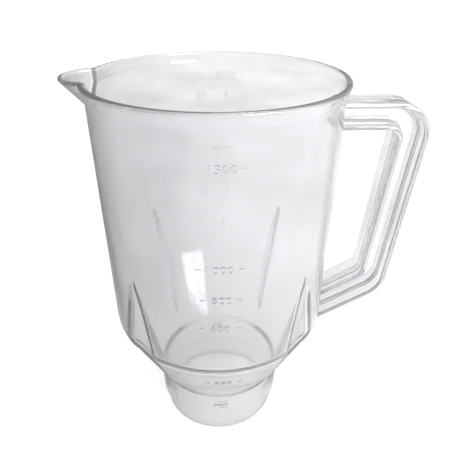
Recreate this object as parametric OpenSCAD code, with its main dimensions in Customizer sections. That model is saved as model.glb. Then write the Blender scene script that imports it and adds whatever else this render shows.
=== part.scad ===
// Plastic blender jar: one clear moulding with a pouring lip, an open collar and a side handle.
// Millimetres. The axis is Z, the collar foot is at Z = 0, the handle points to +X and the lip to -X.

/* [Body] */
// total height, from the collar foot to the rim
jar_h = 210; // [190:1:230]
// outer radius of the rim
rim_r = 65; // [60:0.5:70]
// width of the flat ring on top of the rim
rim_face_w = 3.6; // [3:0.1:4.5]
// height of the flare under the rim
flare_h = 6.5; // [4:0.5:10]
// outer radius of the wall just below the flare
shoulder_r = 62.3; // [58:0.1:63]
// outer radius of the wall at the knee
knee_r = 60.4; // [57:0.1:61]
// height of the knee, where the wall would meet the cone of the neck
knee_h = 76; // [70:1:85]
// outer rounding of the knee, from the wall in to the cone
knee_round = 20; // [14:0.5:24]
// drop from the knee to the crease where its rounding lands on the cone
knee_drop = 8.5; // [6.5:0.5:12]
// thickness of the body wall
wall_t = 2.6; // [2:0.1:3.2]

/* [Collar] */
// height of the neck, where the cone meets the collar
neck_h = 32; // [28:1:38]
// outer radius of the collar at the neck
neck_r = 37.7; // [36.5:0.1:39]
// outer radius of the collar above its lead
collar_low_r = 36.8; // [36:0.1:37.2]
// outer radius of the collar foot
foot_r = 34; // [33.5:0.1:35]
// height of the tapered lead at the collar foot
lead_h = 12; // [8:0.5:16]
// radius of the open bore through the collar
bore_r = 32.2; // [31:0.1:32.6]
// rounding between the cone and the collar
neck_round = 2.5; // [1:0.25:4]
// reach of the two locking lugs beyond the neck radius
lug_reach = 1.2; // [0.8:0.1:2]
// width of a locking lug around the collar
lug_w = 8.4; // [6:0.2:12]
// height of the stop at one end of a locking lug
lug_h = 5.6; // [4:0.2:8]
// thickness of the bar and of the stop of a locking lug
lug_t = 1.9; // [1.4:0.1:2.6]
// height of the top of the locking lugs
lug_top_h = 25.6; // [20:0.2:28]

/* [Flutes] */
// height of the tip of the four pressed-in flutes
flute_tip_h = 122; // [112:1:132]
// lean of the flute crease from the upright
flute_lean = 13.6; // [11:0.2:16]
// width of the flat at the bottom of a flute
flute_crease_w = 2.6; // [1:0.1:4]
// slope of the flute sides from the radial plane
flute_side_angle = 41; // [34:1:46]
// angle of the flutes from the handle
flute_turn = 45; // [40:1:50]

/* [Spout] */
// reach of the lip from the jar axis
lip_reach = 75.6; // [72:0.2:80]
// height of the lip, from the point where it leaves the wall to the rim
lip_h = 18; // [14:0.5:24]
// slope of the underside of the lip from the upright
lip_slope = 40; // [34:1:46]
// half of the opening angle of the lip
lip_half_angle = 45; // [38:1:50]

/* [Handle] */
// height of the top face of the handle
handle_top_h = 198; // [192:0.5:200]
// reach of the handle from the jar axis
handle_reach = 106.9; // [98:0.1:112]
// height of the lower bend, measured at the centre of its rounding
bend_h = 97; // [92:0.5:110]
// lean of the grip from the upright
grip_lean = 5.6; // [2:0.2:10]
// slope of the lower arm from the level
brace_slope = 29.6; // [24:0.2:34]
// outer rounding of the handle bends
bend_round = 17.5; // [12:0.5:22]
// rounding of the corners of the finger opening
hole_round = 5; // [3:0.5:8]
// depth of the upper arm
arm_depth = 13.9; // [12:0.1:16]
// depth of the grip
grip_depth = 16.2; // [13:0.1:19]
// depth of the lower arm
brace_depth = 17.6; // [14:0.1:20]
// width of the handle flanges
flange_w = 17.8; // [14:0.2:22]
// thickness of the handle flanges
flange_t = 3; // [2.2:0.1:3.6]
// thickness of the web between the flanges
web_t = 2.6; // [2:0.1:3.6]

/* [Hidden] */
$fn = 96;
corner_fn = 40;
eps = 0.01;
clear_out = 10;

// body profile: slopes and the centres of its roundings
shoulder_h = jar_h - flare_h;
wall_lean = atan((shoulder_r - knee_r) / (shoulder_h - knee_h));
cone_lean = atan((knee_r - neck_r) / (knee_h - neck_h));
collar_lean = atan((neck_r - collar_low_r) / (neck_h - lead_h));
wall_n = [cos(wall_lean), -sin(wall_lean)];
cone_n = [cos(cone_lean), -sin(cone_lean)];
collar_n = [cos(collar_lean), -sin(collar_lean)];
knee_p = [knee_r, knee_h];
neck_p = [neck_r, neck_h];
heel_p = knee_p - knee_drop / cos(cone_lean) * [sin(cone_lean), cos(cone_lean)];
knee_gap = knee_round - wall_n * (knee_p - heel_p);
knee_rise = sqrt(knee_round * knee_round - knee_gap * knee_gap);
knee_c = heel_p - knee_gap * wall_n + knee_rise * [sin(wall_lean), cos(wall_lean)];
heel_n = (heel_p - knee_c) / knee_round;
neck_c = line_meet(cone_n, cone_n * neck_p + neck_round, collar_n, collar_n * neck_p + neck_round);
inner_round = knee_round - wall_t;
inner_shoulder_r = shoulder_r - wall_t;
rim_inner_r = rim_r - rim_face_w;
bore_n = [1, 0];
lug_root_r = bore_r + wall_t / 2;
seat_p = line_meet(cone_n, cone_n * neck_p - wall_t, bore_n, bore_r);

// flutes: the crease starts on the wall at the tip and leans in as it goes down
flute_tip_r = knee_r + (flute_tip_h - knee_h) * tan(wall_lean);
flute_len = (flute_tip_h - neck_h) / cos(flute_lean) + 2 * clear_out;
flute_depth = flute_len * sin(flute_lean) + clear_out;

// spout: a cone that stands on its point outside the wall
lip_axis_lean = lip_slope - lip_half_angle;
lip_point_x = lip_reach - lip_h * tan(lip_slope);
lip_len = 2 * lip_h;
lip_shift = wall_t / sin(lip_half_angle);

// handle: each straight side is a line given by its outward normal and its distance
arm_n = [0, 1];
grip_n = [cos(grip_lean), -sin(grip_lean)];
brace_n = [sin(brace_slope), -cos(brace_slope)];
bend_top_c = [handle_reach - bend_round, handle_top_h - bend_round];
bend_drop = bend_top_c[1] - bend_h;
bend_low_c = [bend_top_c[0] - bend_drop * tan(grip_lean), bend_h];
arm_d = handle_top_h;
grip_d = grip_n * bend_top_c + bend_round;
brace_d = brace_n * bend_low_c + bend_round;
root_x = neck_r + clear_out;

// the point where two lines, each given by its normal and its distance, meet
function line_meet(n1, d1, n2, d2) =
    let (det = n1[0] * n2[1] - n1[1] * n2[0])
    [(d1 * n2[1] - d2 * n1[1]) / det, (n1[0] * d2 - n2[0] * d1) / det];

// the half profile of the solid body, up to the outer surface
module outer_profile() {
    difference() {
        union() {
            polygon([
                [0, 0],
                [foot_r, 0],
                [collar_low_r, lead_h],
                neck_c - neck_round * collar_n,
                neck_c,
                neck_c - neck_round * cone_n,
                heel_p,
                knee_c,
                knee_c + knee_round * wall_n,
                [shoulder_r, shoulder_h],
                [rim_r, jar_h],
                [0, jar_h]
            ]);
            translate(knee_c)
                circle(r = knee_round);
        }
        translate(neck_c)
            circle(r = neck_round, $fn = corner_fn);
    }
}

// the half profile of the hollow above the bore
module hollow_profile() {
    polygon([
        [0, seat_p[1]],
        seat_p,
        heel_p - wall_t * cone_n,
        knee_c + inner_round * heel_n,
        knee_c + inner_round * wall_n,
        [inner_shoulder_r, shoulder_h],
        [rim_inner_r, jar_h],
        [rim_inner_r, jar_h + clear_out],
        [0, jar_h + clear_out]
    ]);
    translate(knee_c)
        circle(r = inner_round);
}

// one wedge with a narrow flat crease that presses a flute in; grow thickens it to the inside
module flute_wedge(grow) {
    corner_x = flute_crease_w / 2 + grow * (1 - sin(flute_side_angle)) / cos(flute_side_angle);
    open_x = corner_x + flute_depth * tan(flute_side_angle);
    translate([flute_tip_r, 0, flute_tip_h])
        rotate([0, flute_lean, 0])
            translate([0, 0, clear_out - flute_len])
                linear_extrude(height = flute_len)
                    polygon([
                        [-grow, -corner_x],
                        [flute_depth - grow, -open_x],
                        [flute_depth - grow, open_x],
                        [-grow, corner_x]
                    ]);
}

// the four flutes around the jar
module flutes(grow) {
    for (turn = [flute_turn, 180 - flute_turn, 180 + flute_turn, 360 - flute_turn])
        rotate(turn)
            flute_wedge(grow);
}

// the cone of the spout; lift moves it up for the hollow of the lip
module lip_cone(lift) {
    translate([-lip_point_x, 0, jar_h - lip_h])
        rotate([0, -lip_axis_lean, 0])
            translate([0, 0, lift])
                cylinder(h = lip_len, r1 = 0, r2 = lip_len * tan(lip_half_angle));
}

// the area inside the three handle lines, set in by the depths and grown by a distance
module loop_area(arm_in, grip_in, brace_in, round_r, grow) {
    r = round_r + grow;
    top_c = line_meet(arm_n, arm_d - arm_in - round_r, grip_n, grip_d - grip_in - round_r);
    low_c = line_meet(grip_n, grip_d - grip_in - round_r, brace_n, brace_d - brace_in - round_r);
    root_low = line_meet(bore_n, root_x, brace_n, brace_d - brace_in + grow);
    polygon([
        [root_x, top_c[1] + r],
        top_c + r * arm_n,
        top_c + r * grip_n,
        low_c + r * grip_n,
        low_c + r * brace_n,
        root_low
    ]);
    translate(top_c)
        circle(r = r, $fn = corner_fn);
    translate(low_c)
        circle(r = r, $fn = corner_fn);
}

// the outer edge of the handle, grown by a distance
module handle_area(grow) {
    loop_area(0, 0, 0, bend_round, grow);
}

// the finger opening, grown by a distance
module opening_area(grow) {
    loop_area(arm_depth, grip_depth, brace_depth, hole_round, grow);
}

// a flat shape in the XZ plane, made into a plate of the given width about Y = 0
module plate(width) {
    rotate([90, 0, 0])
        translate([0, 0, -width / 2])
            linear_extrude(height = width)
                children();
}

// the handle: two flanges around the edges and a web between them
module handle() {
    plate(web_t)
        difference() {
            handle_area(0);
            opening_area(0);
        }
    plate(flange_w)
        difference() {
            handle_area(0);
            handle_area(-flange_t);
        }
    plate(flange_w)
        difference() {
            opening_area(flange_t);
            opening_area(0);
        }
}

// one locking lug outside the collar: a bar with a stop at one end
module lug() {
    intersection() {
        cylinder(h = jar_h, r = neck_r + lug_reach);
        union() {
            translate([-lug_w / 2, -2 * neck_r, lug_top_h - lug_t])
                cube([lug_w, 2 * neck_r - lug_root_r, lug_t]);
            translate([-lug_w / 2, -2 * neck_r, lug_top_h - lug_h])
                cube([lug_t, 2 * neck_r - lug_root_r, lug_h]);
        }
    }
}

// everything that is solid before the hollow is taken out
module outer_form() {
    difference() {
        rotate_extrude()
            outer_profile();
        flutes(0);
    }
    intersection() {
        lip_cone(0);
        translate([-2 * rim_r, -rim_r, jar_h - lip_h - clear_out])
            cube([2 * rim_r, 2 * rim_r, lip_h + clear_out]);
    }
    handle();
    lug();
    rotate(180)
        lug();
}

// the hollow of the body, with the flutes standing into it, and the hollow of the lip
module hollow_form() {
    difference() {
        rotate_extrude()
            hollow_profile();
        flutes(wall_t);
    }
    lip_cone(lip_shift);
    translate([0, 0, -clear_out])
        cylinder(h = seat_p[1] + clear_out + eps, r = bore_r);
}

module jar() {
    color([0.86, 0.88, 0.89, 0.45])
        difference() {
            outer_form();
            hollow_form();
        }
}

jar();
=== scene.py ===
import math

import bmesh
import bpy
import numpy as np
from mathutils import Matrix, Vector


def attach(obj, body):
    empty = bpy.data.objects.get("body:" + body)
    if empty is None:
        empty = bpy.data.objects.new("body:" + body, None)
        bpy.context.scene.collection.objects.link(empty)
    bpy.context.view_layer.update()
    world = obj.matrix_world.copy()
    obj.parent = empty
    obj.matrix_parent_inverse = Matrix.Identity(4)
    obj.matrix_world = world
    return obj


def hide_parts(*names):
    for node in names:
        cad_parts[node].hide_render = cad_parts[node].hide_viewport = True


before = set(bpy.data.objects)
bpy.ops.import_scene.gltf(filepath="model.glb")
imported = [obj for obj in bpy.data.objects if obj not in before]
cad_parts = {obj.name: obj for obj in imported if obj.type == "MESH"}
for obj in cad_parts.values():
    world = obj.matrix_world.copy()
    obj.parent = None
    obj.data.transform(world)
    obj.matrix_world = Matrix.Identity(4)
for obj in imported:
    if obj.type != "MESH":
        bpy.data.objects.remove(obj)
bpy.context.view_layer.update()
print("stage 1: CAD frame loaded")

mm = 0.001
tiny = 1e-6
mergeGap = 1e-7  # metres

# shared shape functions


def unit(v):
    # each vector over its own length
    return v / np.linalg.norm(v, axis=-1, keepdims=True)


def lineMeet(n1, d1, n2, d2):
    # the point whose distances along the two normals are d1 and d2
    return np.linalg.solve(np.array([n1, n2]), np.array([d1, d2]))


def roundedPath(corners, radii, arcSteps, straightSteps, closed=True):
    # every corner becomes an arc that touches both of its sides: the centre lies on the bisector, at the
    # radius over the sine of the half angle, and the arc turns evenly from one touching point to the other
    p = np.array(corners, float)
    r = np.maximum(np.array(radii, float), tiny)
    toPrev, toNext = unit(np.roll(p, 1, 0) - p), unit(np.roll(p, -1, 0) - p)
    flat = np.abs(toPrev[:, 0] * toNext[:, 1] - toPrev[:, 1] * toNext[:, 0]) < tiny
    bisector = toPrev + toNext
    bisector[flat] = np.stack([-toNext[flat, 1], toNext[flat, 0]], 1)
    bisector = unit(bisector)
    half = np.arccos(np.clip((toPrev * bisector).sum(1), -1, 1))
    centre = p + bisector * (r / np.sin(half))[:, None]
    a = p + toPrev * (r / np.tan(half))[:, None] - centre
    b = p + toNext * (r / np.tan(half))[:, None] - centre
    sweep = np.arccos(np.clip((a * b).sum(1) / r**2, -1, 1))
    arcs = []
    for k in range(len(p)):
        if flat[k] or radii[k] == 0:
            arcs.append(p[k : k + 1])
            continue
        t = np.linspace(0, 1, arcSteps[k] + 1)[:, None]
        turned = np.sin((1 - t) * sweep[k]) * a[k] + np.sin(t * sweep[k]) * b[k]
        arcs.append(centre[k] + turned / np.sin(sweep[k]))
    points = []
    for k in range(len(p)):
        points.append(arcs[k])
        if closed or k < len(p) - 1:
            t = np.linspace(0, 1, straightSteps[k] + 1)[1:-1, None]
            points.append(arcs[k][-1] * (1 - t) + arcs[(k + 1) % len(p)][0] * t)
    return np.vstack(points)


def softMin(a, b, width):
    # the lower of two values, blended by a parabola where they differ by less than width
    h = np.maximum(width - np.abs(a - b), 0) / width
    return np.minimum(a, b) - h * h * width / 4


def softMax(a, b, width):
    # the higher of two values, blended in the same way
    return -softMin(-a, -b, width)


def gridFaces(rows, columns, closeRows, closeColumns):
    # quads between neighbours on a grid, wrapped round where a direction is closed
    i = np.arange(rows if closeRows else rows - 1)[:, None]
    j = np.arange(columns if closeColumns else columns - 1)[None, :]
    i2, j2 = (i + 1) % rows, (j + 1) % columns
    quads = [i * columns + j, i * columns + j2, i2 * columns + j2, i2 * columns + j]
    return np.stack(quads, -1).reshape(-1, 4)


def endFaces(rows, columns):
    # one face over the first row and one over the last row of a tube
    return [list(range(columns)), list(range((rows - 1) * columns, rows * columns))]


def newObject(name, points, faces):
    # points in mm, in any grid; the object sits at the origin and its place is in the mesh
    mesh = bpy.data.meshes.new(name)
    mesh.from_pydata((np.asarray(points).reshape(-1, 3) * mm).tolist(), [], [list(f) for f in faces])
    mesh.update()
    obj = bpy.data.objects.new(name, mesh)
    bpy.context.scene.collection.objects.link(obj)
    return obj


def outwards(obj):
    # joins doubled points and turns every face outwards
    bm = bmesh.new()
    bm.from_mesh(obj.data)
    bmesh.ops.remove_doubles(bm, verts=bm.verts, dist=mergeGap)
    bmesh.ops.recalc_face_normals(bm, faces=bm.faces)
    bm.to_mesh(obj.data)
    bm.free()
    return obj


# jar body: one closed skin, outside and inside; lengths in mm, angles in degrees

body = {
    "height": 210.0, "rimR": 65.0, "rimFaceW": 3.6, "flareH": 6.5, "shoulderR": 62.3, "wallT": 2.6,
    "kneeR": 60.4, "kneeH": 76.0, "kneeRound": 20.0, "kneeDrop": 8.5, "kneeSteps": 12,
    "neckH": 32.0, "neckR": 37.7, "collarLowR": 36.8, "footR": 34.0, "boreR": 32.2, "boreTopR": 34.2,
    "leadH": 12.0, "leadStep": 0.8, "leadHalf": 0.15, "leadRound": 0.2,
    # edges of the section, outside
    "footOuter": 1.4, "neckRound": 2.5, "heelRound": 2.5, "shoulderRound": 0.8, "rimEdge": 1.3,
    # edges of the section, inside
    "footEdge": 0.7, "seatRound": 0.4, "kneeInner": 6.0, "shoulderInner": 12.0, "shoulderRise": 1.3,
    "rimInner": 2.0,
    # rows on the straight wall, as (height, steps to the next corner): below and above the flutes' tips,
    # and where the lip begins
    "wallRows": ((114, 10), (126, 11), (188, 8)),
    "sharpAngle": 34.0,
}
flute = {
    "tipH": 122.0, "lean": 13.6, "creaseW": 2.6, "sideAngle": 41.0, "turn": 45.0, "creaseRound": 5.0,
    "sideT": 1.7, "footGap": 3.0,
    # the edge of a flute is nearly sharp towards the front and the back, and rounder towards the sides
    "frontRound": 0.5, "sideRound": 0.7, "sideGrow": 0.42, "sideLeast": 0.3, "sideMost": 6.0,
    "sideTurn": 0.3, "reachTurn": 0.6,
    # columns over a side, the crease and a side, and over the plain wall between two flutes
    "columns": (10, 5, 10), "plainColumns": 50, "leastSide": 2.2, "lowH": 60.0, "lowR": 30.0,
}
lip = {
    "reach": 75.6, "height": 18.0, "slope": 40.0, "halfAngle": 45.0, "edgeRound": 0.8,
    "columns": (28, 36, 28), "searchAngle": 40.0, "searchSteps": 400, "leastAngle": 3.0,
}
# the share of the columns' spacing that is even; the rest draws them towards the edges
evenShare = 0.35

shoulderH = body["height"] - body["flareH"]
wallLean = math.atan((body["shoulderR"] - body["kneeR"]) / (shoulderH - body["kneeH"]))
coneLean = math.atan((body["kneeR"] - body["neckR"]) / (body["kneeH"] - body["neckH"]))
wallN = np.array([math.cos(wallLean), -math.sin(wallLean)])
coneN = np.array([math.cos(coneLean), -math.sin(coneLean)])
kneeP = np.array([body["kneeR"], body["kneeH"]])
neckP = np.array([body["neckR"], body["neckH"]])
shoulderP = np.array([body["shoulderR"], shoulderH])
# the knee is an arc that starts at the heel, a point on the cone, and runs into the wall without a break
heelP = kneeP - body["kneeDrop"] / math.cos(coneLean) * np.array([math.sin(coneLean), math.cos(coneLean)])
kneeGap = body["kneeRound"] - wallN @ (kneeP - heelP)
kneeRise = math.sqrt(body["kneeRound"] ** 2 - kneeGap**2)
kneeC = heelP - kneeGap * wallN + kneeRise * np.array([math.sin(wallLean), math.cos(wallLean)])
heelN = (heelP - kneeC) / body["kneeRound"]
seatP = lineMeet(coneN, coneN @ neckP - body["wallT"], [1, 0], body["boreTopR"])


def outerCorners():
    # the corners outside from the foot up; the knee is an arc about kneeC that turns from the heel's normal
    # to the wall's
    t = np.linspace(0, 1, body["kneeSteps"])[:, None]
    knee = kneeC + body["kneeRound"] * unit(heelN * (1 - t) + wallN * t)
    leadP = np.array([body["collarLowR"], body["leadH"]])
    rise = np.array([0, body["leadHalf"]])
    lead = [leadP - rise - [body["leadStep"], 0], leadP + rise]
    rim = [body["rimR"], body["height"]]
    return np.vstack([[[body["footR"], 0]], lead, [neckP], [heelP], knee[1:], [shoulderP], [rim]])


def innerCorners():
    # the corners inside from the foot up: the cone and the wall meet in one corner, each a wall's thickness
    # from the outside, and the wall runs a little past the shoulder
    knee = lineMeet(coneN, coneN @ neckP - body["wallT"], wallN, wallN @ shoulderP - body["wallT"])
    shoulder = [body["shoulderR"] - body["wallT"], shoulderH + body["shoulderRise"]]
    rim = [body["rimR"] - body["rimFaceW"], body["height"]]
    return np.vstack([[[body["boreR"], 0]], [seatP], [knee], [shoulder], [rim]])


outerLine = outerCorners()
innerLine = innerCorners()


def outerR(z):
    # the plain radius outside at a height, straight between the corners
    return np.interp(z, outerLine[:, 1], outerLine[:, 0])


def innerR(z):
    # the plain radius inside at a height
    return np.interp(z, innerLine[:, 1], innerLine[:, 0])


def lineCorners(line, special):
    # every corner of a side as (point, rounding, steps of the rounding, steps to the next corner); special
    # gives the last three by the corner's number, from either end, and the wall gets its extra rows
    plain = (0, 1, 1)
    out = [(tuple(q), *special.get(k, special.get(k - len(line), plain))) for k, q in enumerate(line)]
    wall = [((float(np.interp(z, line[:, 1], line[:, 0])), z), 0, 1, n) for z, n in body["wallRows"]]
    return out[:-2] + wall + out[-2:]


def wallProfile():
    # the closed half section as rows of (radius, height), and for each row how far it is from outside (0)
    # to inside (1)
    b = body
    outside = lineCorners(outerLine, {
        0: (b["footOuter"], 6, 4), 1: (b["leadRound"], 3, 1), 2: (b["leadRound"], 3, 6),
        3: (b["neckRound"], 8, 15), 4: (b["heelRound"], 5, 1),
        -3: (0, 1, 10), -2: (b["shoulderRound"], 5, 4), -1: (b["rimEdge"], 6, 3),
    })
    inside = lineCorners(innerLine, {
        0: (b["footEdge"], 5, 8), 1: (b["seatRound"], 6, 15), 2: (b["kneeInner"], 10, 4),
        -3: (0, 1, 10), -2: (b["shoulderInner"], 8, 2), -1: (b["rimInner"], 8, 3),
    })
    # going down inside, the steps to the next corner belong to the corner below
    footSteps = 2
    down = [(*c[:3], inside[k - 1][3] if k else footSteps) for k, c in enumerate(inside)][::-1]
    corners = outside + down
    points = roundedPath(*[[c[k] for c in corners] for k in range(4)])
    onTop = points[:, 1] > body["height"] - tiny
    top = int(np.argmax(onTop))
    last = len(points) - 1 - int(np.argmax(onTop[::-1]))
    across = np.zeros(len(points))
    across[top : last + 1] = np.linspace(0, 1, last + 1 - top)
    across[last + 1 :] = 1
    return points, across


def fluteTurns():
    # where the four flutes stand round the axis, in radians from the handle
    t = math.radians(flute["turn"])
    return t, math.pi - t, math.pi + t, 2 * math.pi - t


def fluteSection(z, inside):
    # at one height a flute is a trapezoid: its crease stands at creaseX, and its sides open by slope
    lean, side = math.radians(flute["lean"]), math.radians(flute["sideAngle"])
    slope = math.cos(lean) * math.tan(side)
    tipR = outerR(flute["tipH"])
    creaseX = tipR + (z - flute["tipH"]) * math.tan(lean) - inside * body["wallT"] / math.cos(lean)
    grow = (flute["sideT"] - body["wallT"] * math.sin(side)) / math.cos(side)
    return creaseX, flute["creaseW"] / 2 + inside * grow, slope


def fluteR(turn, z, inside):
    # the radius where a ray from the axis enters the trapezoid, through the crease or through a side; a ray
    # that never meets the side gets a radius far out
    least, far = 0.02, 1e3
    creaseX, half, slope = fluteSection(z, inside)
    a = np.abs(turn)
    flat = creaseX / np.cos(a)
    closing = slope * np.cos(a) - np.sin(a)
    side = np.where(closing > least, (slope * creaseX - half) / np.maximum(closing, least), far)
    return softMax(flat, side, flute["creaseRound"])


def lipR(azimuth, z, inside):
    # the far point of a horizontal ray on the cone that stands on its point outside the wall
    slope, half = math.radians(lip["slope"]), math.radians(lip["halfAngle"])
    lean = half - slope
    apexX = lip["reach"] - lip["height"] * math.tan(slope)
    h = z - (body["height"] - lip["height"]) - inside * body["wallT"] / math.sin(half)
    c, sa, ca, k = np.cos(azimuth), math.sin(lean), math.cos(lean), math.cos(half) ** 2
    g = apexX * sa + h * ca
    qa = c * c * sa * sa - k
    qb = c * sa * g - k * c * apexX
    qc = g * g - k * (apexX**2 + h**2)
    disc = qb * qb - qa * qc
    root = (-qb - np.sqrt(np.maximum(disc, 0))) / qa
    return np.where((disc > 0) & (h > 0), root, 0.0)


def bodyColumns(points, inside):
    # the azimuth of every column in every row: columns follow the edges of the flutes and of the lip
    z = points[:, 1]
    fine = np.linspace(0, math.radians(lip["searchAngle"]), lip["searchSteps"])
    isInside = inside > 0.5
    base = np.where(isInside, innerR(z), outerR(z))
    cover = lipR(math.pi - fine[None, :], z[:, None], isInside[:, None] * 1.0) > base[:, None]
    lipTurn = np.maximum(fine[cover.sum(1) - cover.any(1)], math.radians(lip["leastAngle"]))
    crease, edge = np.zeros_like(z), np.zeros_like(z)
    for side, r, weight in ((0.0, outerR(z), 1 - inside), (1.0, innerR(z), inside)):
        creaseX, half, slope = fluteSection(z, side)
        k = math.atan(slope)
        creaseTurn = np.arctan2(half, creaseX)
        edgeTurn = k - np.arcsin(np.clip((slope * creaseX - half) * math.cos(k) / r, -1, 1))
        # far below the flute's foot the crease keeps a small turn, so that the columns stay in order
        lowTurn = np.minimum(creaseTurn, half / np.maximum(creaseX, flute["lowR"]))
        creaseTurn = np.where(z < flute["lowH"], lowTurn, creaseTurn)
        crease += weight * creaseTurn
        edge += weight * np.maximum(edgeTurn, creaseTurn + flute["leastSide"] / r)
    breaks, counts = [], []
    for n, c in enumerate(fluteTurns()):
        breaks += [c - edge, c - crease, c + crease, c + edge]
        counts += flute["columns"]
        if n == 1:
            breaks += [math.pi - lipTurn, math.pi + lipTurn]
            counts += lip["columns"]
        else:
            counts += [flute["plainColumns"]]
    breaks = np.stack(breaks + [breaks[0] + 2 * math.pi], 1)
    columns = []
    for k, count in enumerate(counts):
        s = np.arange(count) / count
        s = evenShare * s + (1 - evenShare) * (1 - np.cos(math.pi * s)) / 2
        columns.append(breaks[:, k : k + 1] * (1 - s) + breaks[:, k + 1 : k + 2] * s)
    return np.hstack(columns)


def jarBody():
    # every row of the half section turned round the axis; its radius gives way to the flutes and to the lip
    points, inside = wallProfile()
    azimuth = bodyColumns(points, inside)
    r0, z = points[:, 0:1], points[:, 1:2]
    change = np.zeros_like(azimuth)
    for side, base, weight in ((0.0, outerR(z), 1 - inside), (1.0, innerR(z), inside)):
        r = base + np.zeros_like(azimuth)
        depth = base - fluteSection(z, side)[0]
        for k, c in enumerate(fluteTurns()):
            turn = (azimuth - c + math.pi) % (2 * math.pi) - math.pi
            near = np.abs(turn) < flute["reachTurn"]
            deep = fluteR(np.where(near, turn, 0), z, side)
            # the edge on the handle's or the lip's side is rounded more, and more where the flute is deeper
            toSide = np.clip(0.5 + turn * (1 if k % 2 else -1) / flute["sideTurn"], 0, 1)
            wide = flute["sideRound"] + flute["sideGrow"] * depth
            wide = np.clip(wide, flute["sideLeast"], flute["sideMost"])
            blend = flute["frontRound"] * (1 - toSide) + wide * toSide
            r = np.where(near & (z > seatP[1] + flute["footGap"]), softMin(r, deep, blend), r)
        spout = lipR(azimuth, z, side)
        r = np.where(spout > 0, softMax(r, spout, lip["edgeRound"]), r)
        change += weight[:, None] * (r - base)
    r = r0 + change
    grid = np.stack([r * np.cos(azimuth), r * np.sin(azimuth), z + np.zeros_like(r)], -1)
    return newObject("jarBody", grid, gridFaces(grid.shape[0], grid.shape[1], True, True))


# handle: an I-shaped section carried round the loop

handle = {
    "topH": 198.0, "reach": 106.9, "bendH": 97.0, "gripLean": 5.6, "braceSlope": 29.6, "bendRound": 17.5,
    "holeRound": 5.0, "armDepth": 13.9, "gripDepth": 16.2, "braceDepth": 17.6, "flangeW": 17.8,
    "flangeT": 3.0, "webT": 2.6, "webRun": 3.6, "edgeRound": 1.3, "webRound": 2.2, "rootDepth": 1.3,
    # the arm and the brace are first drawn to these X, and their ends are then moved to the wall
    "armX": 62.0, "braceX": 61.0, "braceBack": 10.0, "searchLength": 60.0, "searchSteps": 40,
    "bendSteps": 17, "armSteps": 12, "gripSteps": 14, "braceSteps": 14,
}
gripLean, braceSlope = math.radians(handle["gripLean"]), math.radians(handle["braceSlope"])
armN = np.array([0, 1.0])
gripN = np.array([math.cos(gripLean), -math.sin(gripLean)])
braceN = np.array([math.sin(braceSlope), -math.cos(braceSlope)])
braceWay = np.array([braceN[1], -braceN[0]])


def straightRun(start, end, normal, steps):
    # evenly spaced points on a straight line, all with the same normal
    t = np.linspace(0, 1, steps)[:, None]
    return start * (1 - t) + end * t, np.repeat(normal[None], steps, 0)


def bendRun(centre, radius, n1, n2):
    # an arc that turns from the first normal to the second
    t = np.linspace(0, 1, handle["bendSteps"])[:, None]
    n = unit(n1 * (1 - t) + n2 * t)
    return centre + radius * n, n


def handleEdge(depths, radius):
    # the arm, the grip and the brace as one rounded line with its normals, each drawn in by its own depth
    topC = np.array([handle["reach"] - handle["bendRound"], handle["topH"] - handle["bendRound"]])
    lowC = np.array([topC[0] - (topC[1] - handle["bendH"]) * math.tan(gripLean), handle["bendH"]])
    arm = handle["topH"] - depths[0]
    grip = gripN @ topC + handle["bendRound"] - depths[1]
    brace = braceN @ lowC + handle["bendRound"] - depths[2]
    top = bendRun(lineMeet(armN, arm - radius, gripN, grip - radius), radius, armN, gripN)
    low = bendRun(lineMeet(gripN, grip - radius, braceN, brace - radius), radius, gripN, braceN)
    finish = low[0][-1] + braceWay * ((handle["braceX"] - low[0][-1][0]) / braceWay[0])
    runs = [
        straightRun(np.array([handle["armX"], arm]), top[0][0], armN, handle["armSteps"]),
        (top[0][1:-1], top[1][1:-1]),
        straightRun(top[0][-1], low[0][0], gripN, handle["gripSteps"]),
        (low[0][1:-1], low[1][1:-1]),
        straightRun(low[0][-1], finish, braceN, handle["braceSteps"]),
    ]
    return np.vstack([points for points, normals in runs]), np.vstack([normals for points, normals in runs])


def handleSection():
    # half of the I-shaped section as (depth from its edge, half width): a rounded flange and the fillet
    # to the web
    w, t, web = handle["flangeW"] / 2, handle["flangeT"], handle["webT"] / 2
    corners = [(0, 0), (0, w), (t, w), (t, web), (t + handle["webRun"], web)]
    radii = [0, handle["edgeRound"], handle["edgeRound"], handle["webRound"], 0]
    return roundedPath(corners, radii, [1, 5, 5, 5, 1], [6, 1, 5, 1, 0], closed=False)


def handleRoot(z):
    # both ends of the handle stop at this radius, inside the wall
    return outerR(z) - handle["rootDepth"]


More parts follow.
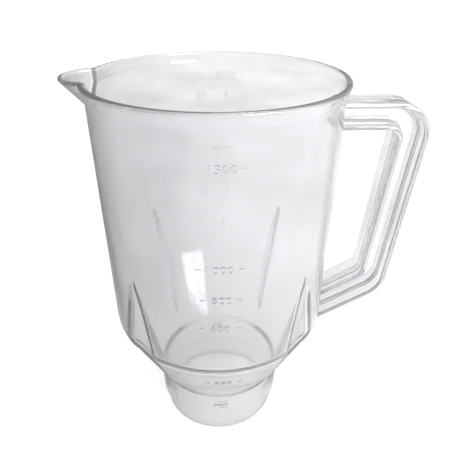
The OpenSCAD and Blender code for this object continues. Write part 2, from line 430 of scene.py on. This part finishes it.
def jarHandle():
    # every point of the section moves with the outer edge or with the edge of the finger opening
    outer = handleEdge((0, 0, 0), handle["bendRound"])
    depths = (handle["armDepth"], handle["gripDepth"], handle["braceDepth"])
    inner = handleEdge(depths, handle["holeRound"])
    half = handleSection()
    count = 2 * len(half)
    isInner = np.repeat([False, True], len(half))
    depth = np.concatenate([half[:, 0], half[::-1, 0]])
    width = np.concatenate([half[:, 1], half[::-1, 1]])
    # the other half of the section is the same, mirrored, without the two points on the middle line
    isInner = np.concatenate([isInner, isInner[-2:0:-1]])[None, :, None]
    depth = np.concatenate([depth, depth[-2:0:-1]])
    width = np.concatenate([width, -width[-2:0:-1]])
    side = np.where(isInner, inner[0][:, None], outer[0][:, None])
    normal = np.where(isInner, inner[1][:, None], -outer[1][:, None])
    plan = side + normal * depth[None, :, None]
    # the upper arm ends on the middle of the wall, straight back along X
    plan[0, :, 0] = np.sqrt(handleRoot(plan[0, :, 1]) ** 2 - width**2)
    # the lower arm runs on along its slope until it is inside the wall: the length is found by halving
    low, high = np.zeros(len(width)), np.full(len(width), handle["searchLength"])
    base = plan[-1] - braceWay * handle["braceBack"]
    for step in range(handle["searchSteps"]):
        m = (low + high) / 2
        p = base + braceWay * m[:, None]
        out = np.hypot(p[:, 0], width) > handleRoot(p[:, 1])
        low, high = np.where(out, m, low), np.where(out, high, m)
    plan[-1] = base + braceWay * low[:, None]
    grid = np.stack([plan[..., 0], np.broadcast_to(width, plan.shape[:2]), plan[..., 1]], -1)
    rows, columns = grid.shape[:2]
    faces = gridFaces(rows, columns, False, True).tolist()
    # each end is closed by strips between the two sides of the section
    k = np.arange(1, count - 1)
    mirror = 2 * count - 2 - k
    for row in (0, rows - 1):
        s = row * columns
        faces += np.stack([s + k[:-1], s + k[1:], s + mirror[1:], s + mirror[:-1]], 1).tolist()
        faces += [[s, s + 1, s + int(mirror[0])], [s + count - 1, s + count, s + count - 2]]
    return outwards(newObject("jarHandle", grid, faces))


# locking lugs on the collar

lug = {
    "reach": 1.2, "width": 8.4, "height": 5.6, "thick": 1.9, "topH": 25.6, "edge": 0.35,
    # the rounded outer edge, as shares of edge: how far each row stays back, and how far it is drawn in
    "rows": ((3, 0), (1, 0), (0.5, 0.13), (0.13, 0.5), (0, 1)),
}


def lugBar(x0, x1, z0, z1, turn):
    # a rounded rectangle carried outwards from inside the collar wall, drawn in a little at its outer face
    r0, r1 = body["boreR"] + body["wallT"] / 2, body["neckR"] + lug["reach"]
    e = lug["edge"]
    steps = np.array([[r0, 0]] + [[r1 - back * e, inset * e] for back, inset in lug["rows"]])
    rows = []
    for r, inset in steps:
        left, right, low, high = x0 + inset, x1 - inset, z0 + inset, z1 - inset
        c = [(left, low), (right, low), (right, high), (left, high)]
        rows.append(roundedPath(c, [e] * 4, [4] * 4, [4, 2, 4, 2]))
    plan = np.array(rows)
    r = steps[:, 0][:, None]
    a = plan[..., 0] / r1 - math.pi / 2 + turn
    grid = np.stack([r * np.cos(a), r * np.sin(a), plan[..., 1]], -1)
    n = grid.shape[1]
    faces = gridFaces(len(steps), n, False, True).tolist() + endFaces(len(steps), n)
    return outwards(newObject("lugBar", grid, faces))


def jarLugs():
    # each lug is a bar along the collar with a stop at its left end
    w, top = lug["width"] / 2, lug["topH"]
    parts = []
    for turn in (0.0, math.pi):
        parts.append(lugBar(-w, w, top - lug["thick"], top, turn))
        parts.append(lugBar(-w, -w + lug["thick"], top - lug["height"], top, turn))
    return parts


# scale: raised figures and ticks; rows as (height, words, middle, how far they stand proud)

scale = {
    "figureH": 3.9, "figureW": 2.75, "pitch": 3.35, "tickW": 2.7, "tickH": 0.75, "tickRound": 0.15,
    "rootDepth": 0.5, "softEdge": 0.16, "softBack": 0.3, "fontSize": 5.3, "fontOffset": -0.1,
    "fontDepth": 0.3, "fontSteps": 3,
    "front": [
        (186.9, "1500", 0.4, 0.50), (139.0, "1000", -0.8, 0.50), (121.9, "800", 0.2, 0.52),
        (104.8, "600", -0.6, 0.45), (87.0, "400", -0.4, 0.14), (58.5, "200", 0.9, 0.34),
        (194.5, "ml", 0.4, 0.30),
    ],
    "frontTicks": [
        (186.9, 10.1, 0.32), (186.9, -9.6, 0.08), (139.0, -10.0, 0.34), (139.0, 9.5, 0.34),
        (121.9, -8.4, 0.38), (121.9, 8.4, 0.38), (104.8, -9.0, 0.30), (104.8, 8.3, 0.30),
        (87.0, -9.0, 0.10), (87.0, 8.6, 0.10), (58.5, -7.6, 0.30), (58.5, 9.7, 0.30),
    ],
    "back": [
        (196.5, "oz", 10.0, 0.65), (196.5, "cups", -6.5, 0.65), (185.1, "48", 8.2, 0.65),
        (185.1, "6", -7.1, 0.65), (121.0, "28", 8.8, 0.65), (121.0, "3", -7.4, 0.65),
        (97.0, "16", 9.0, 0.65), (97.0, "2", -4.6, 0.65),
    ],
}


def onWall(x, up, out, height, azimuth):
    # arc length along the wall, height up its slope, and distance out from its surface
    slope = coneLean if height < heelP[1] else wallLean
    z = height + up * math.cos(slope) - out * math.sin(slope)
    base = outerR(height) + up * math.sin(slope)
    r = base + out * math.cos(slope)
    a = azimuth + x / outerR(height)
    return np.stack([r * np.cos(a), r * np.sin(a), z + np.zeros_like(r)], -1)


def figure(text, x, height, azimuth, proud):
    # the outline of one figure, given a thickness and a soft edge, scaled to the figure's size and bent
    # round the wall
    curve = bpy.data.curves.new("figure", "FONT")
    curve.body, curve.size, curve.resolution_u = text, scale["fontSize"], scale["fontSteps"]
    curve.extrude, curve.offset = scale["fontDepth"], scale["fontOffset"]
    curve.bevel_depth, curve.bevel_resolution = scale["softEdge"], 1
    flat = bpy.data.objects.new("figure", curve)
    bpy.context.scene.collection.objects.link(flat)
    bpy.context.view_layer.update()
    mesh = bpy.data.meshes.new_from_object(flat.evaluated_get(bpy.context.evaluated_depsgraph_get()))
    co = np.zeros(len(mesh.vertices) * 3)
    mesh.vertices.foreach_get("co", co)
    co = co.reshape(-1, 3)
    faces = [list(p.vertices) for p in mesh.polygons]
    bpy.data.objects.remove(flat)
    bpy.data.meshes.remove(mesh)
    low, high = co.min(0), co.max(0)
    size = high - low
    # a figure 1 keeps its own narrow shape
    width = scale["figureW"]
    if text == "1":
        width = min(width, scale["figureH"] * size[0] / size[1])
    flatX = x + (co[:, 0] - (low[0] + high[0]) / 2) * width / size[0]
    up = (co[:, 1] - (low[1] + high[1]) / 2) * scale["figureH"] / size[1]
    points = onWall(flatX, up, co[:, 2] - high[2] + proud, height, azimuth)
    return outwards(newObject("figure", points, faces))


def number(text, x, height, azimuth, proud):
    # figures side by side at an even pitch about x
    first = x - scale["pitch"] * (len(text) - 1) / 2
    return [figure(t, first + k * scale["pitch"], height, azimuth, proud) for k, t in enumerate(text)]


def tick(x, height, azimuth, proud):
    # a small rounded bar lying along the wall, its outer edge drawn in row by row
    w, h, e = scale["tickW"] / 2, scale["tickH"] / 2, scale["softEdge"]
    back = scale["softBack"] * e
    rows = []
    for out, inset in ((-scale["rootDepth"], 0), (proud - e, 0), (proud - back, back), (proud, e)):
        left, right, low, high = x - w + inset, x + w - inset, inset - h, h - inset
        c = [(left, low), (right, low), (right, high), (left, high)]
        ring = roundedPath(c, [scale["tickRound"]] * 4, [3] * 4, [4, 1, 4, 1])
        rows.append(onWall(ring[:, 0], ring[:, 1], np.full(len(ring), out), height, azimuth))
    grid = np.array(rows)
    n = grid.shape[1]
    faces = gridFaces(len(rows), n, False, True).tolist() + endFaces(len(rows), n)
    return outwards(newObject("tick", grid, faces))


def jarScale():
    # the front faces the camera, along -Y
    front, back = -math.pi / 2, math.pi / 2
    parts = []
    for words, azimuth in ((scale["front"], front), (scale["back"], back)):
        for height, text, x, proud in words:
            parts += number(text, x, height, azimuth, proud)
    for height, x, proud in scale["frontTicks"]:
        parts.append(tick(x, height, front, proud))
    return parts


# joining everything into one moulding


def joined(base, parts):
    # the union of closed skins, so that no inner wall is left where they meet
    for k, part in enumerate(parts):
        cut = base.modifiers.new(f"join{k}", "BOOLEAN")
        cut.operation, cut.solver, cut.object = "UNION", "MANIFOLD", part
    bpy.context.view_layer.update()
    mesh = bpy.data.meshes.new_from_object(base.evaluated_get(bpy.context.evaluated_depsgraph_get()))
    base.modifiers.clear()
    base.data = mesh
    for part in parts:
        bpy.data.objects.remove(part)
    return base


jar = joined(jarBody(), [jarHandle()] + jarLugs() + jarScale())
jar.name = "jarMoulding"
jar.data.name = "jarMoulding"
jar.data.shade_smooth()
jar.data.set_sharp_from_angle(angle=math.radians(body["sharpAngle"]))
print("stage 2: moulding built,", len(jar.data.polygons), "faces")

# materials


def toLinear(hexCode):
    # sRGB hex to linear light
    c = np.array([int(hexCode[k : k + 2], 16) for k in (1, 3, 5)]) / 255
    return tuple(np.where(c <= 0.04045, c / 12.92, ((c + 0.055) / 1.055) ** 2.4)) + (1.0,)


def grey(level):
    return (level, level, level, 1.0)


def addNode(tree, kind, settings=None, inputs=None, links=None):
    # a link comes from a socket, or from a node's first output
    node = tree.nodes.new("ShaderNode" + kind)
    for key, value in (settings or {}).items():
        setattr(node, key, value)
    for key, value in (inputs or {}).items():
        node.inputs[key].default_value = value
    for key, source in (links or {}).items():
        tree.links.new(getattr(source, "outputs", [source])[0], node.inputs[key])
    return node


def patternScale(size):
    # the Scale of a noise whose features are size mm long, on coordinates in metres
    return 1 / (size * mm)


def newMaterial(name):
    material = bpy.data.materials.new(name)
    material.use_nodes = True
    material.node_tree.nodes.clear()
    return material, material.node_tree


clear = {
    "tint": "#FBFBFD", "ior": 1.57, "transmission": 0.89,
    "depthTint": "#C4C5C9", "density": 4.0,  # per metre of plastic
    # sizes in mm; the real wear is finer than 2.4 mm and is drawn as coarse as it needs to show
    "rippleSize": 26.316, "rippleDetail": 1.5, "rippleRoughness": 0.4, "rippleStrength": 0.04,
    "rippleDepth": 0.6, "wearSize": 2.381, "wearDetail": 4.0, "wearLow": 0.35, "wearHigh": 0.75,
    "hazeLow": 0.045, "hazeHigh": 0.095,
}


def mouldedSan():
    # clear SAN, injection moulded: bright hard gloss with dark fine edges where the light runs along the
    # wall, long soft ripples from the mould, and a fine haze of wear
    material, tree = newMaterial("sanMouldedClear")
    coords = addNode(tree, "TexCoord").outputs["Object"]
    ripple = addNode(
        tree, "TexNoise",
        inputs={
            "Scale": patternScale(clear["rippleSize"]), "Detail": clear["rippleDetail"],
            "Roughness": clear["rippleRoughness"],
        },
        links={"Vector": coords},
    )
    bump = addNode(
        tree, "Bump",
        inputs={"Strength": clear["rippleStrength"], "Distance": clear["rippleDepth"] * mm},
        links={"Height": ripple.outputs["Fac"]},
    )
    wear = addNode(
        tree, "TexNoise", inputs={"Scale": patternScale(clear["wearSize"]), "Detail": clear["wearDetail"]},
        links={"Vector": coords},
    )
    haze = addNode(
        tree, "MapRange",
        inputs={
            "From Min": clear["wearLow"], "From Max": clear["wearHigh"],
            "To Min": clear["hazeLow"], "To Max": clear["hazeHigh"],
        },
        links={"Value": wear.outputs["Fac"]},
    )
    shader = addNode(
        tree, "BsdfPrincipled",
        inputs={
            "Base Color": toLinear(clear["tint"]), "IOR": clear["ior"],
            "Transmission Weight": clear["transmission"],
        },
        links={"Roughness": haze, "Normal": bump},
    )
    depth = addNode(
        tree, "VolumeAbsorption",
        inputs={"Color": toLinear(clear["depthTint"]), "Density": clear["density"]},
    )
    addNode(tree, "OutputMaterial", links={"Surface": shader, "Volume": depth})
    return material


jar.data.materials.clear()
jar.data.materials.append(mouldedSan())
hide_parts("jar")
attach(jar, "root")
print("stage 3: material set")

# floor, world, lights, camera; curves are (position, level) pairs

studio = {
    # how bright the floor is through the plastic, as painted light and shade: from left to right, narrowing
    # with the distance, darker to the left; and from the axis outwards in metres, a painted contact shadow
    # near the jar, with a darker painted shadow ring where the collar stands
    "across": [
        (-1.6, 0.45), (-0.55, 0.36), (-0.36, 0.27), (-0.28, 0.41), (-0.2, 0.62), (-0.1, 0.68), (0.0, 0.76),
        (0.08, 0.84), (0.14, 0.88), (0.25, 0.98), (0.6, 0.95), (1.6, 0.65),
    ],
    # painted contact shadow: darker round the jar, and darkest in a ring under the collar's foot
    "near": [
        (0.0, 0.76), (0.0315, 0.73), (0.0330, 0.40), (0.0352, 0.40), (0.0375, 0.70), (0.09, 0.86),
        (0.22, 0.92), (0.45, 0.93), (0.75, 1.0),
    ],
    "vanish": 0.35, "strength": 1.36,
    # soft clouds on the floor, their size in mm
    "cloudSize": 166.67, "cloudDetail": 2.0, "cloudLow": 0.35, "cloudHigh": 0.6, "cloudDepth": 0.20,
    # the room's light from left to right, and from the camera's side to the back
    "room": [(-1.0, 0.10), (-0.5, 0.45), (0.0, 1.0), (0.5, 1.0), (0.8, 0.8), (1.0, 0.6)],
    "behind": [(-1.0, 1.0), (0.0, 1.0), (0.45, 0.75), (1.0, 0.40)],
    "roomTint": "#F4F4F6",
    # what the camera sees of the paper, and how it throws light back
    "floorWhite": 0.80, "floorPaper": 0.40, "bouncePaper": 0.80,
    "floorRings": (1.0, 300, 900, 3000, 9000), "floorSides": 128, "floorDrop": 0.05,
    # name, place, aim, size, watts, and the share of the side over which the light fades
    "lamps": [
        ("softboxWindow", (0.660, -0.985, 0.455), (0, 0, 0.06), (0.64, 0.26), 15, 0.17),
        ("softboxTop", (0.3, 0.3, 1.8), (0, 0, 0.1), (0.9, 0.9), 24, 0.4),
    ],
}


def ramp(tree, value, stops):
    # a smooth curve through the stops
    low, high = stops[0][0], stops[-1][0]
    share = addNode(tree, "MapRange", inputs={"From Min": low, "From Max": high}, links={"Value": value})
    node = addNode(tree, "ValToRGB", links={"Fac": share})
    node.color_ramp.interpolation = "EASE"
    points = node.color_ramp.elements
    while len(points) < len(stops):
        points.new(0.5)
    for point, (place, level) in zip(points, stops):
        point.position = (place - low) / (high - low)
        point.color = grey(level)
    return node


def paintedFloorLightShade(tree, coords):
    # the painted light and shade of the floor through the plastic: left to right, times clouds, times a
    # painted contact shadow from near to far; left to right is X over the distance from the X axis plus
    # vanish
    parts = addNode(tree, "SeparateXYZ", links={"Vector": coords}).outputs
    away = addNode(tree, "Math", {"operation": "ABSOLUTE"}, links={0: parts["Y"]})
    away = addNode(tree, "Math", {"operation": "ADD"}, {1: studio["vanish"]}, {0: away})
    side = addNode(tree, "Math", {"operation": "DIVIDE"}, links={0: parts["X"], 1: away})
    clouds = addNode(
        tree, "TexNoise",
        inputs={"Scale": patternScale(studio["cloudSize"]), "Detail": studio["cloudDetail"]},
        links={"Vector": coords},
    )
    shade = addNode(
        tree, "MapRange",
        inputs={
            "From Min": studio["cloudLow"], "From Max": studio["cloudHigh"],
            "To Min": 1 - studio["cloudDepth"], "To Max": 1.0,
        },
        links={"Value": clouds.outputs["Fac"]},
    )
    reach = addNode(tree, "VectorMath", {"operation": "LENGTH"}, links={0: coords}).outputs["Value"]
    # painted light and shade: darker to the left, times the clouds and the painted contact shadow
    level = ramp(tree, side, studio["across"])
    for factor in (shade, ramp(tree, reach, studio["near"])):
        level = addNode(tree, "Math", {"operation": "MULTIPLY"}, links={0: level, 1: factor})
    return addNode(tree, "Math", {"operation": "MULTIPLY"}, {1: studio["strength"]}, {0: level})


def studioFloor():
    # a wide flat disc of matt white paper: white to the camera with the jar's shadow; to rays through or
    # off the plastic it glows a soft grey with painted light and shade
    sides = studio["floorSides"]
    t = np.linspace(0, 2 * math.pi, sides, endpoint=False)[None, :]
    r = np.array(studio["floorRings"])[:, None]
    grid = np.stack([r * np.cos(t), r * np.sin(t), np.full_like(r * t, -studio["floorDrop"])], -1)
    faces = gridFaces(len(r), sides, False, True).tolist() + [list(range(sides - 1, -1, -1))]
    floor = newObject("studioFloor", grid, faces)
    material, tree = newMaterial("paperWhitePaintedShade")
    coords = addNode(tree, "TexCoord").outputs["Object"]
    path = addNode(tree, "LightPath").outputs
    paper = addNode(tree, "BsdfDiffuse", inputs={"Color": grey(studio["floorPaper"])})
    white = addNode(tree, "Emission", inputs={"Color": grey(1), "Strength": studio["floorWhite"]})
    shown = addNode(tree, "AddShader", links={0: paper, 1: white})
    # painted light and shade: a glow in place of the light that falls on the floor
    through = addNode(tree, "Emission", links={"Strength": paintedFloorLightShade(tree, coords)})
    bounce = addNode(tree, "BsdfDiffuse", inputs={"Color": grey(studio["bouncePaper"])})
    toPlastic = addNode(
        tree, "Math", {"operation": "MAXIMUM"},
        links={0: path["Is Transmission Ray"], 1: path["Is Glossy Ray"]},
    )
    unseen = addNode(tree, "MixShader", links={0: toPlastic, 1: bounce, 2: through})
    seen = addNode(tree, "MixShader", links={0: path["Is Camera Ray"], 1: unseen, 2: shown})
    addNode(tree, "OutputMaterial", links={"Surface": seen})
    floor.data.materials.append(material)


def studioWorld():
    # white to the camera; a soft room, darker to the left than to the right, for reflections and through
    # the plastic
    world = bpy.data.worlds.new("studioWorld")
    bpy.context.scene.world = world
    world.use_nodes = True
    tree = world.node_tree
    tree.nodes.clear()
    path = addNode(tree, "LightPath").outputs
    coords = addNode(tree, "TexCoord").outputs["Generated"]
    parts = addNode(tree, "SeparateXYZ", links={"Vector": coords}).outputs
    level = addNode(
        tree, "Math", {"operation": "MULTIPLY"},
        links={0: ramp(tree, parts["X"], studio["room"]), 1: ramp(tree, parts["Y"], studio["behind"])},
    )
    tint = toLinear(studio["roomTint"])
    room = addNode(tree, "Background", inputs={"Color": tint}, links={"Strength": level})
    white = addNode(tree, "Background", inputs={"Color": grey(1), "Strength": 1.0})
    mix = addNode(tree, "MixShader", links={0: path["Is Camera Ray"], 1: room, 2: white})
    addNode(tree, "OutputWorld", links={"Surface": mix})


def areaLight(name, place, target, size, watts, soft):
    # a rectangular softbox whose light fades out towards its edges
    lamp = bpy.data.lights.new(name, "AREA")
    lamp.shape, lamp.size, lamp.size_y = "RECTANGLE", size[0], size[1]
    lamp.energy = watts
    lamp.use_nodes = True
    tree = lamp.node_tree
    tree.nodes.clear()
    patch = addNode(tree, "NewGeometry").outputs["Parametric"]
    parts = addNode(tree, "SeparateXYZ", links={"Vector": patch}).outputs
    fades = []
    for axis in ("X", "Y"):
        inset = addNode(tree, "Math", {"operation": "PINGPONG"}, {1: 0.5}, {0: parts[axis]})
        fades.append(addNode(
            tree, "MapRange", {"interpolation_type": "SMOOTHSTEP"}, {"From Max": soft}, {"Value": inset},
        ))
    both = addNode(tree, "Math", {"operation": "MULTIPLY"}, links={0: fades[0], 1: fades[1]})
    glow = addNode(tree, "Emission", links={"Strength": both})
    addNode(tree, "OutputLight", links={"Surface": glow})
    obj = bpy.data.objects.new(name, lamp)
    aim = (Vector(target) - Vector(place)).to_track_quat("-Z", "Y").to_matrix().to_4x4()
    obj.matrix_world = Matrix.Translation(Vector(place)) @ aim
    bpy.context.scene.collection.objects.link(obj)


# fitted to the photo: pixels for the image plane, mm times mmPerUnit for the place, from the rim's centre
camera = {
    "focalPx": 479.42, "centrePx": (234.05, 222.51), "imagePx": 452, "place": (0.0, -243.58, 52.11),
    "mmPerUnit": 0.963, "pitch": 0.5103, "yaw": -0.0384, "roll": 0.0085, "turn": math.radians(-1.05),
    "sensorMm": 36.0, "clip": (0.01, 50),
}


def photoCamera():
    # a pinhole camera looking down by pitch, turned by yaw and roll, and the whole view turned about the
    # jar's axis
    p, y, r = camera["pitch"], camera["yaw"], camera["roll"]
    right = np.array([math.cos(y), math.sin(y), 0])
    forward = np.array([-math.sin(y), math.cos(y), 0])
    up = np.array([0, 0, 1.0])
    depth = math.cos(p) * forward - math.sin(p) * up
    high = math.sin(p) * forward + math.cos(p) * up
    xAxis = math.cos(r) * right + math.sin(r) * high
    yAxis = math.cos(r) * high - math.sin(r) * right
    place = np.array(camera["place"]) * camera["mmPerUnit"] + [0, 0, body["height"]]
    turn = np.array(Matrix.Rotation(camera["turn"], 3, "Z"))
    pose = np.eye(4)
    pose[:3, :3] = turn @ np.stack([xAxis, yAxis, -depth], 1)
    pose[:3, 3] = turn @ place * mm
    data = bpy.data.cameras.new("photoCamera")
    size, centre = camera["imagePx"], camera["centrePx"]
    data.sensor_width = camera["sensorMm"]
    data.lens = camera["focalPx"] / size * camera["sensorMm"]
    data.shift_x = (size / 2 - centre[0]) / size
    data.shift_y = (centre[1] - size / 2) / size
    data.clip_start, data.clip_end = camera["clip"]
    obj = bpy.data.objects.new("photoCamera", data)
    obj.matrix_world = Matrix(pose.tolist())
    bpy.context.scene.collection.objects.link(obj)
    bpy.context.scene.camera = obj


studioFloor()
studioWorld()
for lamp in studio["lamps"]:
    areaLight(*lamp)
photoCamera()
bpy.context.scene.view_settings.view_transform = "Standard"
print("stage 4: studio set")
